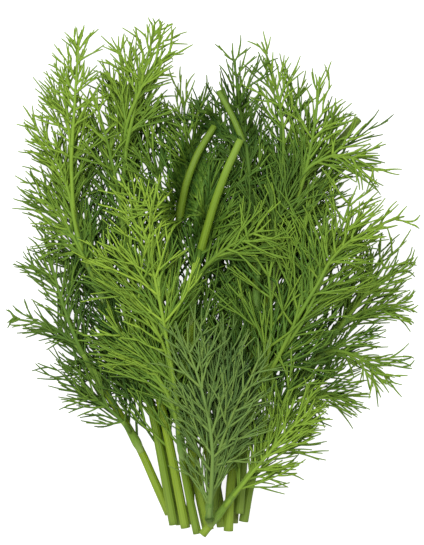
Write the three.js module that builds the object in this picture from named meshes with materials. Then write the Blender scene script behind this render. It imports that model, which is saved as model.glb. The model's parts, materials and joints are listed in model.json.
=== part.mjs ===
// A loose bunch of fresh dill, lying on a flat surface. Millimetres, +Z up.
// X runs across the bunch and Y from the cut feet of the stems to the tips of the leaves.
// Every stem and every feathery leaf (frond) is a solid of its own. They are laid down one after
// the other, lowest first, and each comes to rest on what already lies below it.

import * as THREE from 'three';
import { mergeVertices } from 'three/addons/utils/BufferGeometryUtils.js';

// Driving dimensions
const STEM_RADIUS = 2.05; // at the foot of a stem of thickness 1
const STEM_END_SHARE = 0.62; // radius at the upper end, as a share of the foot's
const RACHIS_HALF_WIDTH = 0.8; // midrib of a frond at its base
const PINNA_HALF_WIDTH = 0.6; // side branch of a frond at its base
const FROND_THICKNESS = 1;
const CLEARANCE = 0.35; // between any two pieces that touch
const FROND_FLUFF = 0.8; // room above a frond for its threads

// How steeply a piece may climb over what it crosses, as a slope
const STEM_SLOPE = 0.3;
const RACHIS_SLOPE = 0.4;
const PINNA_SLOPE = 0.55;

// How the pieces are divided
const STEM_SIDES = 7;
const STEM_STEPS = 13;
const PAIR_SPACING = 8; // between pairs of side branches
const PINNA_ANGLES = [40, 24]; // from the midrib, in degrees: at its base and at its tip

// The height map that the pieces are laid on
const CELL = 0.8;
const MAP_HALF = 130;
const MAP_COLUMNS = Math.ceil((2 * MAP_HALF) / CELL);
const UP = new THREE.Vector3(0, 0, 1);

const GREENS = {
  bright_stem: 0x86ab3a,
  green_stem: 0x6c9438,
  olive_stem: 0x66803a,
  bright_leaf: 0x80a83c,
  green_leaf: 0x55862e,
  dark_leaf: 0x38631f,
  blue_leaf: 0x4d7f45,
};

// Each sprig, lowest in the pile first: the route of its stem in plan from the cut foot upward, its
// thickness beside the others, and its fronds. A frond is [share of the way up the stem, tip, breadth].
const SPRIGS = [
  {
    name: 'under', thickness: 0.9, stem: 'olive_stem', leaf: 'dark_leaf',
    route: [[-9, -107], [-9, -86], [-5, -52], [5, -19], [12, 15], [8, 48]],
    fronds: [[0.3, [-3, -22], 30], [0.62, [2, 44], 32]],
  },
  {
    name: 'mid_left', thickness: 0.9, stem: 'green_stem', leaf: 'dark_leaf',
    route: [[-13.5, -107], [-20, -74], [-30, -44], [-42, -21], [-49, 0]],
    fronds: [[0.42, [-56, -34], 24], [0.8, [-50, 32], 28]],
  },
  {
    name: 'outer_left', thickness: 0.95, stem: 'bright_stem', leaf: 'dark_leaf',
    route: [[-18, -102], [-23, -91], [-33, -70], [-46, -49], [-55, -33], [-62, -17]],
    fronds: [[0.4, [-55, -50], 18], [0.8, [-88, -19], 8], [0.88, [-71, 17], 14]],
  },
  {
    name: 'tall_left', thickness: 1, stem: 'green_stem', leaf: 'green_leaf',
    route: [[-16, -106], [-22, -74], [-28, -48], [-39, -25], [-49, -4], [-57, 16], [-59, 45], [-58, 63]],
    fronds: [
      [0.62, [-74, 42], 15], [0.77, [-78, 66], 12], [0.86, [-64, 88], 12], [0.94, [-56, 103], 12],
    ],
  },
  {
    name: 'top_left', thickness: 1, stem: 'bright_stem', leaf: 'green_leaf',
    route: [[-11, -107], [-19, -66], [-30, -19], [-37, 15], [-38, 36], [-34, 62], [-29, 81]],
    fronds: [
      [0.66, [-50, 77], 18], [0.83, [-41, 100], 14], [0.92, [-23, 106], 15], [0.96, [-15, 94], 12],
    ],
  },
  {
    name: 'inner_cut', thickness: 1.15, stem: 'bright_stem', leaf: 'green_leaf',
    route: [[4.5, -108], [-1, -76], [-10, -44], [-16, -10], [-15, 15], [-9, 45], [1, 63]],
    fronds: [[0.6, [-28, 64], 26], [0.8, [-13, 79], 16]],
  },
  {
    name: 'blade', thickness: 0.95, stem: 'green_stem', leaf: 'green_leaf',
    route: [[0, -105], [3.5, -82], [10, -52], [19, -19], [26, 15], [31, 52]],
    fronds: [[0.56, [20, 44], 30], [0.84, [38, 83], 16], [0.94, [20, 102], 12]],
  },
  {
    name: 'long_right', thickness: 1.1, stem: 'olive_stem', leaf: 'green_leaf',
    route: [[9, -106], [13, -61], [21, -27], [31, 15], [40, 40], [52, 54], [63, 66]],
    fronds: [[0.6, [53, 50], 27], [0.76, [46, 87], 16], [0.86, [71, 42], 15]],
  },
  {
    name: 'outer_right', thickness: 1, stem: 'green_stem', leaf: 'green_leaf',
    route: [[13.5, -105], [18, -82], [29, -57], [47, -32], [62, -13], [71, 0]],
    fronds: [[0.42, [60, -54], 18], [0.62, [79, -47], 14], [0.76, [83, -13], 18], [0.86, [79, 12], 17]],
  },
  {
    name: 'dark_cut', thickness: 1, stem: 'green_stem', leaf: 'dark_leaf',
    route: [[11.5, -101], [14, -69], [19, -10], [17, 23], [14, 55], [3, 78]],
    fronds: [[0.52, [36, 36], 29], [0.76, [-3, 72], 17], [0.82, [8, 98], 11]],
  },
  {
    name: 'fan_right', thickness: 1, stem: 'bright_stem', leaf: 'green_leaf',
    route: [[7, -108], [9.5, -76], [24, -40], [40, -17], [47, 4]],
    fronds: [[0.48, [20, 18], 31], [0.66, [38, 26], 28], [0.85, [60, 36], 23], [0.94, [84, 25], 13]],
  },
  {
    name: 'pale_cut', thickness: 1.2, stem: 'bright_stem', leaf: 'green_leaf',
    route: [[-1.5, -108], [-7, -82], [-10, -52], [-8, -5], [-4, 12], [4, 38], [12, 56]],
    fronds: [[0.58, [25, 20], 23], [0.68, [-13, 68], 17], [0.76, [-31, 29], 16]],
  },
  {
    name: 'bright_left', thickness: 0.9, stem: 'green_stem', leaf: 'bright_leaf',
    route: [[-6, -109], [-12, -80], [-15, -50], [-19, -25]],
    fronds: [[0.5, [-45, -20], 26], [0.76, [-50, 10], 27], [0.92, [-33, 36], 32]],
  },
  {
    name: 'low_right', thickness: 0.85, stem: 'bright_stem', leaf: 'green_leaf',
    route: [[-4, -109], [4, -99], [14, -86]],
    fronds: [[0.8, [35, -41], 24], [0.95, [44, -54], 17]],
  },
  {
    name: 'front', thickness: 0.8, stem: 'green_stem', leaf: 'blue_leaf',
    route: [[-1, -104], [-1, -95], [0, -86]],
    fronds: [[0.75, [6, -20], 25], [0.85, [21, -35], 20], [0.95, [-14, -22], 27]],
  },
];

// The heights of what already lies on the surface, in square cells seen from above.
// A section is { halfWidth, halfHeight, round }: a round one is a circle, another a rectangle.
class Pile {
  constructor() {
    this.tops = new Float32Array(MAP_COLUMNS * MAP_COLUMNS);
  }

  // Calls visit(index, rise) for each cell that a section standing at x, y touches; rise is how far
  // the section reaches above or below its middle there
  overCells(x, y, { halfWidth, halfHeight, round }, visit) {
    const margin = CELL * Math.SQRT1_2;
    const reach = halfWidth + margin;
    const first = (value) => Math.ceil((value - reach + MAP_HALF) / CELL - 0.5);
    const last = (value) => Math.floor((value + reach + MAP_HALF) / CELL - 0.5);
    for (let row = first(y); row <= last(y); row++) {
      for (let column = first(x); column <= last(x); column++) {
        const dx = (column + 0.5) * CELL - MAP_HALF - x;
        const dy = (row + 0.5) * CELL - MAP_HALF - y;
        const distance = Math.hypot(dx, dy);
        if (distance > reach) continue;
        const inner = Math.max(0, distance - margin) / halfWidth;
        const rise = round ? halfHeight * Math.sqrt(1 - inner * inner) : halfHeight;
        visit(row * MAP_COLUMNS + column, rise);
      }
    }
  }

  // The lowest that the middle line of a piece can lie along one straight stretch
  restingHeight(from, to, section) {
    let height = section.halfHeight;
    for (const [x, y] of alongStretch(from, to)) {
      this.overCells(x, y, section, (index, rise) => {
        if (this.tops[index] > 0) height = Math.max(height, this.tops[index] + CLEARANCE + rise);
      });
    }
    return height;
  }

  // Lays a piece on the map, with room above it; sectionAt gives its section at a share of its stations
  lay(points, sectionAt, room) {
    for (let i = 1; i < points.length; i++) {
      const section = sectionAt((i - 1) / (points.length - 1));
      for (const [x, y, z] of alongStretch(points[i - 1], points[i])) {
        this.overCells(x, y, section, (index, rise) => {
          this.tops[index] = Math.max(this.tops[index], z + rise + room);
        });
      }
    }
  }
}

function alongStretch(from, to) {
  const steps = Math.max(1, Math.ceil(Math.hypot(to.x - from.x, to.y - from.y) / (CELL / 2)));
  return Array.from({ length: steps + 1 }, (_, i) => from.clone().lerp(to, i / steps).toArray());
}

// A small repeatable source of chance, for the unevenness of grown things
function makeChance(seed) {
  let state = seed;
  return (low, high) => {
    state = (state + 0x6d2b79f5) | 0;
    let mixed = Math.imul(state ^ (state >>> 15), 1 | state);
    mixed = (mixed + Math.imul(mixed ^ (mixed >>> 7), 61 | mixed)) ^ mixed;
    return low + (high - low) * (((mixed ^ (mixed >>> 14)) >>> 0) / 2 ** 32);
  };
}

const mix = (from, to, share) => from + (to - from) * share;

// Plan distances from the first point to each point of a route
function distancesAlong(points) {
  const distances = [0];
  for (let i = 1; i < points.length; i++) {
    const stretch = Math.hypot(points[i].x - points[i - 1].x, points[i].y - points[i - 1].y);
    distances.push(distances[i - 1] + stretch);
  }
  return distances;
}

// What the pile asks of each point of a piece, before slopes are limited
function restingNeeds(pile, points, sectionAt) {
  const last = points.length - 1;
  const needs = new Array(points.length).fill(0);
  for (let i = 1; i <= last; i++) {
    const height = pile.restingHeight(points[i - 1], points[i], sectionAt((i - 1) / last));
    needs[i - 1] = Math.max(needs[i - 1], height);
    needs[i] = Math.max(needs[i], height);
  }
  return needs;
}

// The lowest heights that meet every need without climbing more steeply than slope
function smoothHeights(needs, distances, slope) {
  return distances.map((here) => Math.max(
    ...needs.map((need, j) => need - slope * Math.abs(here - distances[j])),
  ));
}

// A rod with its ends closed, bent along points
function rodGeometry(points, radiusAt, sides) {
  const steps = points.length - 1;
  const geometry = new THREE.CylinderGeometry(1, 1, 1, sides, steps);
  const position = geometry.getAttribute('position');
  const vertex = new THREE.Vector3();
  const frames = points.map((point, i) => {
    const tangent = points[Math.min(i + 1, steps)].clone().sub(points[Math.max(i - 1, 0)]).normalize();
    const side = tangent.clone().cross(UP).normalize();
    return { side, rise: side.clone().cross(tangent) };
  });
  for (let i = 0; i < position.count; i++) {
    vertex.fromBufferAttribute(position, i);
    const station = Math.round((vertex.y + 0.5) * steps);
    const radius = radiusAt(station / steps);
    const { side, rise } = frames[station];
    const { x, z } = vertex;
    vertex.copy(points[station]).addScaledVector(side, x * radius).addScaledVector(rise, z * radius);
    position.setXYZ(i, vertex.x, vertex.y, vertex.z);
  }
  geometry.deleteAttribute('normal');
  geometry.deleteAttribute('uv');
  return mergeVertices(geometry, 1e-4);
}

// A thin closed slab: flat faces, anticlockwise from above, thickened, with a wall on every free edge
function slabGeometry(vertices, faces, thickness) {
  const count = vertices.length;
  const half = thickness / 2;
  const position = [half, -half].flatMap((lift) => vertices.flatMap(({ x, y, z }) => [x, y, z + lift]));
  const edges = faces.flatMap((face) => face.map((corner, i) => [corner, face[(i + 1) % face.length]]));
  const taken = new Set(edges.map(([from, to]) => `${from} ${to}`));
  const index = [];
  for (const face of faces) {
    for (let i = 2; i < face.length; i++) {
      index.push(face[0], face[i - 1], face[i]);
      index.push(face[0] + count, face[i] + count, face[i - 1] + count);
    }
  }
  for (const [from, to] of edges) {
    if (taken.has(`${to} ${from}`)) continue;
    index.push(from, from + count, to + count);
    index.push(from, to + count, to);
  }
  const geometry = new THREE.BufferGeometry();
  geometry.setAttribute('position', new THREE.Float32BufferAttribute(position, 3));
  geometry.setIndex(index);
  return geometry;
}

function leafMaterial(green) {
  return new THREE.MeshStandardMaterial({ color: GREENS[green], roughness: 0.6, metalness: 0 });
}

function namedMesh(name, geometry, green) {
  geometry.computeVertexNormals();
  const mesh = new THREE.Mesh(geometry, leafMaterial(green));
  mesh.name = name;
  return mesh;
}

// Lays one stem and returns its solid with the curve of its middle line
function layStem(pile, sprig) {
  const footRadius = STEM_RADIUS * sprig.thickness;
  const radiusAt = (share) => footRadius * mix(1, STEM_END_SHARE, share);
  const sectionAt = (share) => (
    { halfWidth: radiusAt(share), halfHeight: radiusAt(share), round: true }
  );
  const plan = new THREE.CatmullRomCurve3(
    sprig.route.map(([x, y]) => new THREE.Vector3(x, y, 0)), false, 'centripetal',
  );
  const steps = Math.max(3, Math.round((STEM_STEPS * plan.getLength()) / 180));
  const points = plan.getSpacedPoints(steps);
  const heights = smoothHeights(
    restingNeeds(pile, points, sectionAt), distancesAlong(points), STEM_SLOPE,
  );
  points.forEach((point, i) => point.setZ(heights[i]));
  pile.lay(points, sectionAt, 0);
  const geometry = rodGeometry(points, radiusAt, STEM_SIDES);
  return { mesh: namedMesh(`${sprig.name}_stem`, geometry, sprig.stem), points };
}

// The point and the heading in plan at a share of the way along a laid stem
function placeOnStem(points, share) {
  const at = share * (points.length - 1);
  const before = Math.min(Math.floor(at), points.length - 2);
  const heading = points[before + 1].clone().sub(points[before]).setZ(0).normalize();
  return { point: points[before].clone().lerp(points[before + 1], at - before), heading };
}

// Length of a side branch beside the longest one, at a share of the way up the midrib
function pinnaShare(share) {
  const longestAt = 0.28;
  if (share < longestAt) return mix(0.7, 1, share / longestAt);
  return mix(1, 0.25, (share - longestAt) / (1 - longestAt));
}

// The plan of a frond: the stations of its midrib and its pairs of opposite side branches (pinnae).
// A pair grows from the stretch between two close stations, and root is the first of them.
function planFrond(stemPoints, [share, [tipX, tipY], breadth], chance) {
  const { point: base, heading } = placeOnStem(stemPoints, share);
  base.setZ(0);
  const tip = new THREE.Vector3(tipX, tipY, 0);
  const length = base.distanceTo(tip);
  const bend = base.clone().addScaledVector(heading, length * 0.42);
  const curve = new THREE.QuadraticBezierCurve3(base, bend, tip);
  const pairs = THREE.MathUtils.clamp(Math.round(length / PAIR_SPACING), 3, 6);
  const rootShare = (2 * PINNA_HALF_WIDTH) / curve.getLength();
  const shares = [0];
  const pinnae = [];
  for (let pair = 0; pair < pairs; pair++) {
    const up = mix(0.18, 0.84, pair / (pairs - 1)) + chance(-0.02, 0.02);
    for (const hand of [-1, 1]) {
      const angle = THREE.MathUtils.degToRad(mix(...PINNA_ANGLES, up) + chance(-5, 5));
      const reach = (breadth / 2 / Math.sin(angle)) * pinnaShare(up) * chance(0.85, 1.15);
      const forward = curve.getTangentAt(up);
      const out = forward.clone().applyAxisAngle(UP, -hand * angle);
      const across = forward.clone().cross(UP).multiplyScalar(hand);
      const start = curve.getPointAt(up + rootShare / 2).addScaledVector(across, RACHIS_HALF_WIDTH);
      const points = [0, 0.5, 1].map((along) => start.clone()
        .addScaledVector(out, reach * along)
        .addScaledVector(forward, reach * 0.14 * along * along));
      pinnae.push({ hand, root: shares.length, points });
    }
    shares.push(up, up + rootShare);
  }
  shares.push(1);
  return { rachis: shares.map((at) => curve.getPointAt(at)), pinnae, length };
}

// Lays one frond: each side branch asks the midrib to be high enough, and then hangs from it
function layFrond(pile, { rachis, pinnae, length }) {
  const section = { halfWidth: RACHIS_HALF_WIDTH, halfHeight: FROND_THICKNESS / 2 };
  const pinnaSection = { halfWidth: PINNA_HALF_WIDTH, halfHeight: FROND_THICKNESS / 2 };
  const distances = distancesAlong(rachis);
  const needs = restingNeeds(pile, rachis, () => section);
  for (const pinna of pinnae) {
    pinna.distances = distancesAlong(pinna.points);
    pinna.needs = restingNeeds(pile, pinna.points, () => pinnaSection);
    const asked = Math.max(...pinna.needs.map((need, i) => need - PINNA_SLOPE * pinna.distances[i]));
    for (const station of [pinna.root, pinna.root + 1]) needs[station] = Math.max(needs[station], asked);
  }
  const heights = smoothHeights(needs, distances, RACHIS_SLOPE);
  rachis.forEach((point, i) => {
    const share = distances[i] / distances.at(-1);
    const arch = heights[0] + length * (0.08 * share - 0.22 * share * share);
    point.setZ(Math.max(heights[i], arch));
  });
  for (const pinna of pinnae) {
    const rootHeight = (rachis[pinna.root].z + rachis[pinna.root + 1].z) / 2;
    const lifted = smoothHeights(pinna.needs, pinna.distances, PINNA_SLOPE);
    pinna.points.forEach((point, i) => {
      const droop = rootHeight - 0.12 * pinna.distances[i];
      point.setZ(i === 0 ? rootHeight : Math.max(lifted[i], droop));
    });
  }
  pile.lay(rachis, () => section, FROND_FLUFF);
  for (const pinna of pinnae) pile.lay(pinna.points, () => pinnaSection, FROND_FLUFF);
}

// The solid of a laid frond: a ribbon for the midrib, and a pointed blade for each side branch
function frondGeometry({ rachis, pinnae }) {
  const end = rachis.length - 1;
  const vertices = [];
  for (let i = 0; i < end; i++) {
    const ahead = rachis[i + 1].clone().sub(rachis[Math.max(i - 1, 0)]).setZ(0).normalize();
    const right = ahead.cross(UP).multiplyScalar(RACHIS_HALF_WIDTH * mix(1, 0.6, i / end));
    vertices.push(rachis[i].clone().sub(right), rachis[i].clone().add(right));
  }
  vertices.push(rachis[end]);
  const faces = [[2 * end - 2, 2 * end - 1, 2 * end]];
  for (let i = 0; i + 1 < end; i++) faces.push([2 * i, 2 * i + 1, 2 * i + 3, 2 * i + 2]);
  for (const { hand, root, points } of pinnae) {
    const edge = hand > 0 ? [2 * root + 1, 2 * root + 3] : [2 * root, 2 * root + 2];
    const [near, middle, tip] = points;
    const along = tip.clone().sub(near).setZ(0).normalize();
    const right = along.cross(UP).multiplyScalar(PINNA_HALF_WIDTH * 0.7 * hand);
    const first = vertices.push(middle.clone().add(right), middle.clone().sub(right), tip) - 3;
    const blade = [[edge[0], first, first + 1, edge[1]], [first, first + 2, first + 1]];
    faces.push(...(hand > 0 ? blade : blade.map((face) => face.reverse())));
  }
  return slabGeometry(vertices, faces, FROND_THICKNESS);
}

function makeBunch() {
  const pile = new Pile();
  const chance = makeChance(7);
  const bunch = new THREE.Group();
  for (const sprig of SPRIGS) {
    const stem = layStem(pile, sprig);
    bunch.add(stem.mesh);
    sprig.fronds.forEach((place, i) => {
      const frond = planFrond(stem.points, place, chance);
      layFrond(pile, frond);
      bunch.add(namedMesh(`${sprig.name}_frond_${i + 1}`, frondGeometry(frond), sprig.leaf));
    });
  }
  const box = new THREE.Box3().setFromObject(bunch);
  const middle = box.getCenter(new THREE.Vector3());
  bunch.position.set(-middle.x, -middle.y, -box.min.z);
  return bunch;
}

export default makeBunch();
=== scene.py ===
"""A loose bunch of fresh dill: ridged stalks, clasping leaf sheaths and fronds of fine threads.

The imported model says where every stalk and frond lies. This script reads their middle lines
from it and grows the visible bunch along them.
"""

import json
import math
from functools import cache
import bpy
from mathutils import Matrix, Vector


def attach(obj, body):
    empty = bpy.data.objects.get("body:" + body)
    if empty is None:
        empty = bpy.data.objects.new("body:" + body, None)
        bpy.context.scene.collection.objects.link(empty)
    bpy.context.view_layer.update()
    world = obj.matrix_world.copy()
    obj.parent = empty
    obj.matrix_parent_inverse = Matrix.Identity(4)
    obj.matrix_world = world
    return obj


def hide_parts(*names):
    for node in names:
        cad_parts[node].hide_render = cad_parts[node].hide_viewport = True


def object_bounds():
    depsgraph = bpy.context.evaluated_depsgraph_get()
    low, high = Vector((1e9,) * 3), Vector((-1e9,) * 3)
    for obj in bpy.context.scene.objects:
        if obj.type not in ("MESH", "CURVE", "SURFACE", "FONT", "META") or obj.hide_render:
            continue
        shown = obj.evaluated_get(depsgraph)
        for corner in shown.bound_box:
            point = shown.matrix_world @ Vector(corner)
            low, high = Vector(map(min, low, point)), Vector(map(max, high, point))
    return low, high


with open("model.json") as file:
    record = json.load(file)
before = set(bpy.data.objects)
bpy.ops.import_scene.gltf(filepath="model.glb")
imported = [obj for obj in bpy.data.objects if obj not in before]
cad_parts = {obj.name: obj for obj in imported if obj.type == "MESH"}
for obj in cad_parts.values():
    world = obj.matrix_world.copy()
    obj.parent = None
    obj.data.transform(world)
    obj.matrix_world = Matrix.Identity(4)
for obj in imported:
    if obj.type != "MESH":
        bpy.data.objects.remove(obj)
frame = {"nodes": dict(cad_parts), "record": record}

from types import SimpleNamespace

import bpy
import numpy as np
from bpy.props import FloatProperty, FloatVectorProperty, IntProperty, PointerProperty
from mathutils import Vector
from numpy.linalg import norm

bl_info = {
    "name": "Dill Bunch",
    "version": (1, 0, 0),
    "blender": (4, 5, 0),
    "location": "View3D > Sidebar > Dill",
    "description": "Grows a bunch of fresh dill along the stalks and fronds of its packed model",
    "category": "Add Mesh",
}

MM = 0.001
BODY = "root"
BAKE_MAP = "OFBake"
UP = np.array([0.0, 0.0, 1.0])
CAD_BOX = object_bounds()
HALF_PLAN = np.array(CAD_BOX[1][:2])
HEIGHT = CAD_BOX[1][2]
SLOT_OF = {part["node"]: part["material_slot"] for part in frame["record"]["subparts"]}
STEMS = sorted(name for name in frame["nodes"] if name.endswith("_stem"))
FRONDS = sorted(name for name in frame["nodes"] if "_frond_" in name)
STEM_SLOTS = ("bright_stem", "green_stem", "olive_stem")
LEAF_SLOTS = ("bright_leaf", "green_leaf", "dark_leaf", "blue_leaf")

# Stalks that were trimmed at the top; the others run into a leaf.
CUT_TOPS = ("inner_cut_stem", "pale_cut_stem", "dark_cut_stem", "long_right_stem")
# Stalks that nothing thin lies across, from this far up the bunch.
CLEAR_STALKS = {"pale_cut_stem": 14 * MM, "inner_cut_stem": 26 * MM, "dark_cut_stem": 57 * MM}
CLEAR_REACH = (2.4 * MM, 8 * MM)
CLEAR_DROP = 3 * MM
# How often a side branch is added between two of the model's, for each kind of leaf.
CROWDING = {"bright_leaf": 0.5, "green_leaf": 0.3, "dark_leaf": 0.8, "blue_leaf": 0.15}
# How open the fronds of a sprig grow where they reach the outline.
OPEN_FRONDS = {
    "outer_right": 0.42, "outer_left": 0.35, "dark_cut": 0.5, "blade": 0.5, "long_right": 0.35,
    "fan_right": 0.4, "top_left": 0, "tall_left": 0,
}
USUAL_OPENNESS = 0.05
# How far up these stalks their small sprays start, against the usual distance.
LEAFLET_STARTS = {"low_right_stem": 0.85, "outer_right_stem": 1.1}
FROND_SEED = 2600
LEAFLET_SEED = 950

# Lines are resampled at this step, with their bends rounded over these reaches.
STEP = 2 * MM
STALK_BEND = 14 * MM
MIDRIB_BEND = 7 * MM
BRANCH_BEND = 8 * MM
# What grows leans towards level, and keeps this far above the floor.
LEVELLING = np.array([1.0, 1.0, 0.6])
FLOOR_GAP = 0.1 * MM
# A line is drawn back by this share of its way past the box's top, or past this part of its plan.
DRAWN_BACK = 0.6
EDGE = 0.96
# A rod's tone rises between these shares of the way out, and with its height: painted light towards the
# bunch's outline and top, painted shade in its middle and depths.
RIM = (0.42, 0.95)
RIM_PAINTED_LIGHT = 0.62
HEIGHT_PAINTED_SHADING = 0.55
# Degrees by which twigs and their threads turn from what they grow on.
TWIG_ANGLES = (17, 34)
THREAD_ANGLES = (12, 27)
SPRAY_ANGLES = (12, 45)
# Radii against a thread's, room between forks, and how far a twig or thread may pass the end.
TWIG_WIDTH = 1.04
THREAD_WIDTH = 0.92
FORK_SPACING = 5.2 * MM
TWIG_OVERHANG = 5 * MM
THREAD_OVERHANG = 3.5 * MM
# A frond this broad grows twigs of the usual size, and its ribs are lighter by this tone.
USUAL_BREADTH = 21 * MM
RIB_LIGHT = 0.08
# Lengths of the small sprays: the longest below a frond, and in millimetres those on a stalk.
LONGEST_SPRAY = 27 * MM
LEAFLET_LENGTHS = (19, 36)
# Parts of the bake map: a rod from its base to its tip, and a stalk's skin and its cut ends.
ROD_FROM, ROD_SPAN, ROD_TIP = 0.01, 0.96, 0.99
SKIN_FROM, SKIN_SPAN = 0.01, 0.88
CUT_FROM, CUT_SPAN = 0.92, 0.07
# Blue of the soft green that stalks and sheaths turn towards.
UPPER_BLUE = 0.03
# The floor, the key light's width and its place from the bunch's middle, and the camera's sensor.
FLOOR_WIDTH = 12.0
KEY_WIDTH = 0.9
KEY_OFFSET = Vector((-0.35, 0.45, 1.0))
SENSOR_WIDTH = 36


# ---- Settings ---------------------------------------------------------------------------------


def colour_property(name, description, default):
    return FloatVectorProperty(
        name=name, description=description, default=default, subtype="COLOR", size=3, min=0, max=1
    )


def length_property(name, description, millimetres):
    return FloatProperty(
        name=name, description=description, default=millimetres * MM, min=0, unit="LENGTH", precision=5
    )


def share_property(name, description, default, least=0):
    return FloatProperty(
        name=name, description=description, default=default, min=least, max=1, subtype="FACTOR"
    )


class DillStalkSettings(bpy.types.PropertyGroup):
    ridges: IntProperty(
        name="Ridges", description="Fine ridges round a stalk", default=13, min=3, max=40
    )
    ridge_depth: share_property("Ridge Depth", "Depth of a ridge, as a share of the radius", 0.07)
    sheath_length: length_property("Sheath Length", "How far a leaf base clasps its stalk", 11)
    bright_colour: colour_property("Bright Stalk", "Yellow-green stalks", (0.17, 0.275, 0.004))
    green_colour: colour_property("Green Stalk", "Mid-green stalks", (0.12, 0.215, 0.004))
    olive_colour: colour_property("Olive Stalk", "Olive stalks", (0.115, 0.165, 0.004))
    pale_colour: colour_property("Pale Tissue", "Sheaths, joints and cut ends", (0.36, 0.46, 0.15))


class DillFrondSettings(bpy.types.PropertyGroup):
    rachis_radius: length_property("Midrib Radius", "Radius of a frond's midrib at its base", 0.95)
    pinna_radius: length_property("Side Branch Radius", "Radius of a side branch at its base", 0.6)
    pinna_share: share_property(
        "Side Branch Share", "Share of a side branch that isn't its last thread", 0.82, least=0.1
    )
    thread_radius: length_property("Thread Radius", "Radius of a leaf thread at its base", 0.47)
    thread_spacing: length_property("Thread Spacing", "Between the twigs of a side branch", 7.8)
    thread_length: length_property("Thread Length", "Length of a leaf thread", 14.5)
    undergrowth_reach: share_property(
        "Undergrowth Reach", "How far out fronds have growth below them, as a share", 0.85
    )
    leaflet_start: length_property("Leaflet Start", "Bare length at the foot of a stalk", 35)
    leaflet_spacing: length_property("Leaflet Spacing", "Between the small sprays of a stalk", 4.8)
    bright_colour: colour_property("Bright Leaf", "Yellow-green fronds", (0.17, 0.3, 0.03))
    green_colour: colour_property("Green Leaf", "Mid-green fronds", (0.125, 0.235, 0.024))
    dark_colour: colour_property("Dark Leaf", "Deep green fronds", (0.075, 0.155, 0.018))
    blue_colour: colour_property("Blue Leaf", "Blue-green fronds", (0.1, 0.185, 0.04))


class DillStageSettings(bpy.types.PropertyGroup):
    floor_colour: colour_property("Floor", "Colour of the floor", (0.4, 0.4, 0.4))
    floor_glow: FloatProperty(
        name="Floor Glow", description="How far the floor is lifted towards white", default=0.9, min=0
    )
    key_power: FloatProperty(
        name="Key Light", description="Power of the large overhead light", default=9, min=0,
        subtype="POWER",
    )
    sky_strength: FloatProperty(
        name="Sky", description="Strength of the even light from all round", default=0.82, min=0
    )
    lens: FloatProperty(
        name="Lens", description="Focal length of the camera", default=120, min=1, unit="CAMERA"
    )
    rise: length_property("Rise", "How far the picture's middle lies above the bunch's", 1)
    fill: share_property("Fill", "Share of the picture's height that the bunch takes", 0.957, least=0.1)


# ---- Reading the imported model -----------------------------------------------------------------


def sprig_of(node):
    """The name of the sprig that a stem or frond belongs to."""
    return node.split("_frond_")[0].removesuffix("_stem")


def joined(places, distance):
    """For each place its number once places this close are one, and how many are left."""
    keys, numbers = np.unique(np.round(places / distance).astype(int), axis=0, return_inverse=True)
    return numbers.reshape(-1), len(keys)


def node_points(node):
    """The distinct corners of a node, and the pairs of them that share an edge."""
    mesh = frame["nodes"][node].data
    corners = np.empty(len(mesh.vertices) * 3)
    mesh.vertices.foreach_get("co", corners)
    corners = corners.reshape(-1, 3)
    places, count = joined(corners, 0.02 * MM)
    points = np.array([corners[places == i].mean(0) for i in range(count)])
    edges = {tuple(sorted((places[a], places[b]))) for a, b in mesh.edge_keys}
    return points, [(a, b) for a, b in edges if a != b]


def flattened(points, edges):
    """A frond's outline: corners above each other joined into one, and the neighbours of each."""
    places, count = joined(points[:, :2], 0.03 * MM)
    merged = np.array([points[places == i].mean(0) for i in range(count)])
    return merged, neighbours(count, [(places[a], places[b]) for a, b in edges if places[a] != places[b]])


def neighbours(count, edges):
    """For each of the points, the set of those that an edge joins to it."""
    beside = [set() for _ in range(count)]
    for a, b in edges:
        beside[a].add(b)
        beside[b].add(a)
    return beside


def steps_from(start, points, beside):
    """The distance along the edges from the start to each point."""
    distance = np.full(len(points), np.inf)
    distance[start] = 0
    left = set(range(len(points)))
    while left:
        here = min(left, key=lambda i: distance[i])
        left.remove(here)
        for there in beside[here]:
            further = distance[here] + norm(points[there] - points[here])
            distance[there] = min(distance[there], further)
    return distance


def grouped(points, along, gap):
    """The points in groups, parted wherever the next one along lies further on than the gap."""
    order = np.argsort(along)
    breaks = np.nonzero(np.diff(along[order]) > gap)[0] + 1
    return [points[group] for group in np.split(order, breaks)]


def read_stem(node):
    """A stalk's middle line from its foot up, and its radius at each point of the line."""
    rod_sides = 7
    ring_gap = 3 * MM
    points, edges = node_points(node)
    beside = neighbours(len(points), edges)
    hubs = [i for i in range(len(points)) if len(beside[i]) == rod_sides]
    foot = min(hubs, key=lambda i: points[i][1])
    distance = steps_from(foot, points, beside)
    rims = [i for i in range(len(points)) if len(beside[i]) != rod_sides]
    rings = grouped(points[rims], distance[rims], ring_gap)
    line = np.array([ring.mean(0) for ring in rings])
    radius = np.array([norm(ring - ring.mean(0), axis=1).mean() for ring in rings])
    return line, radius


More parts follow.
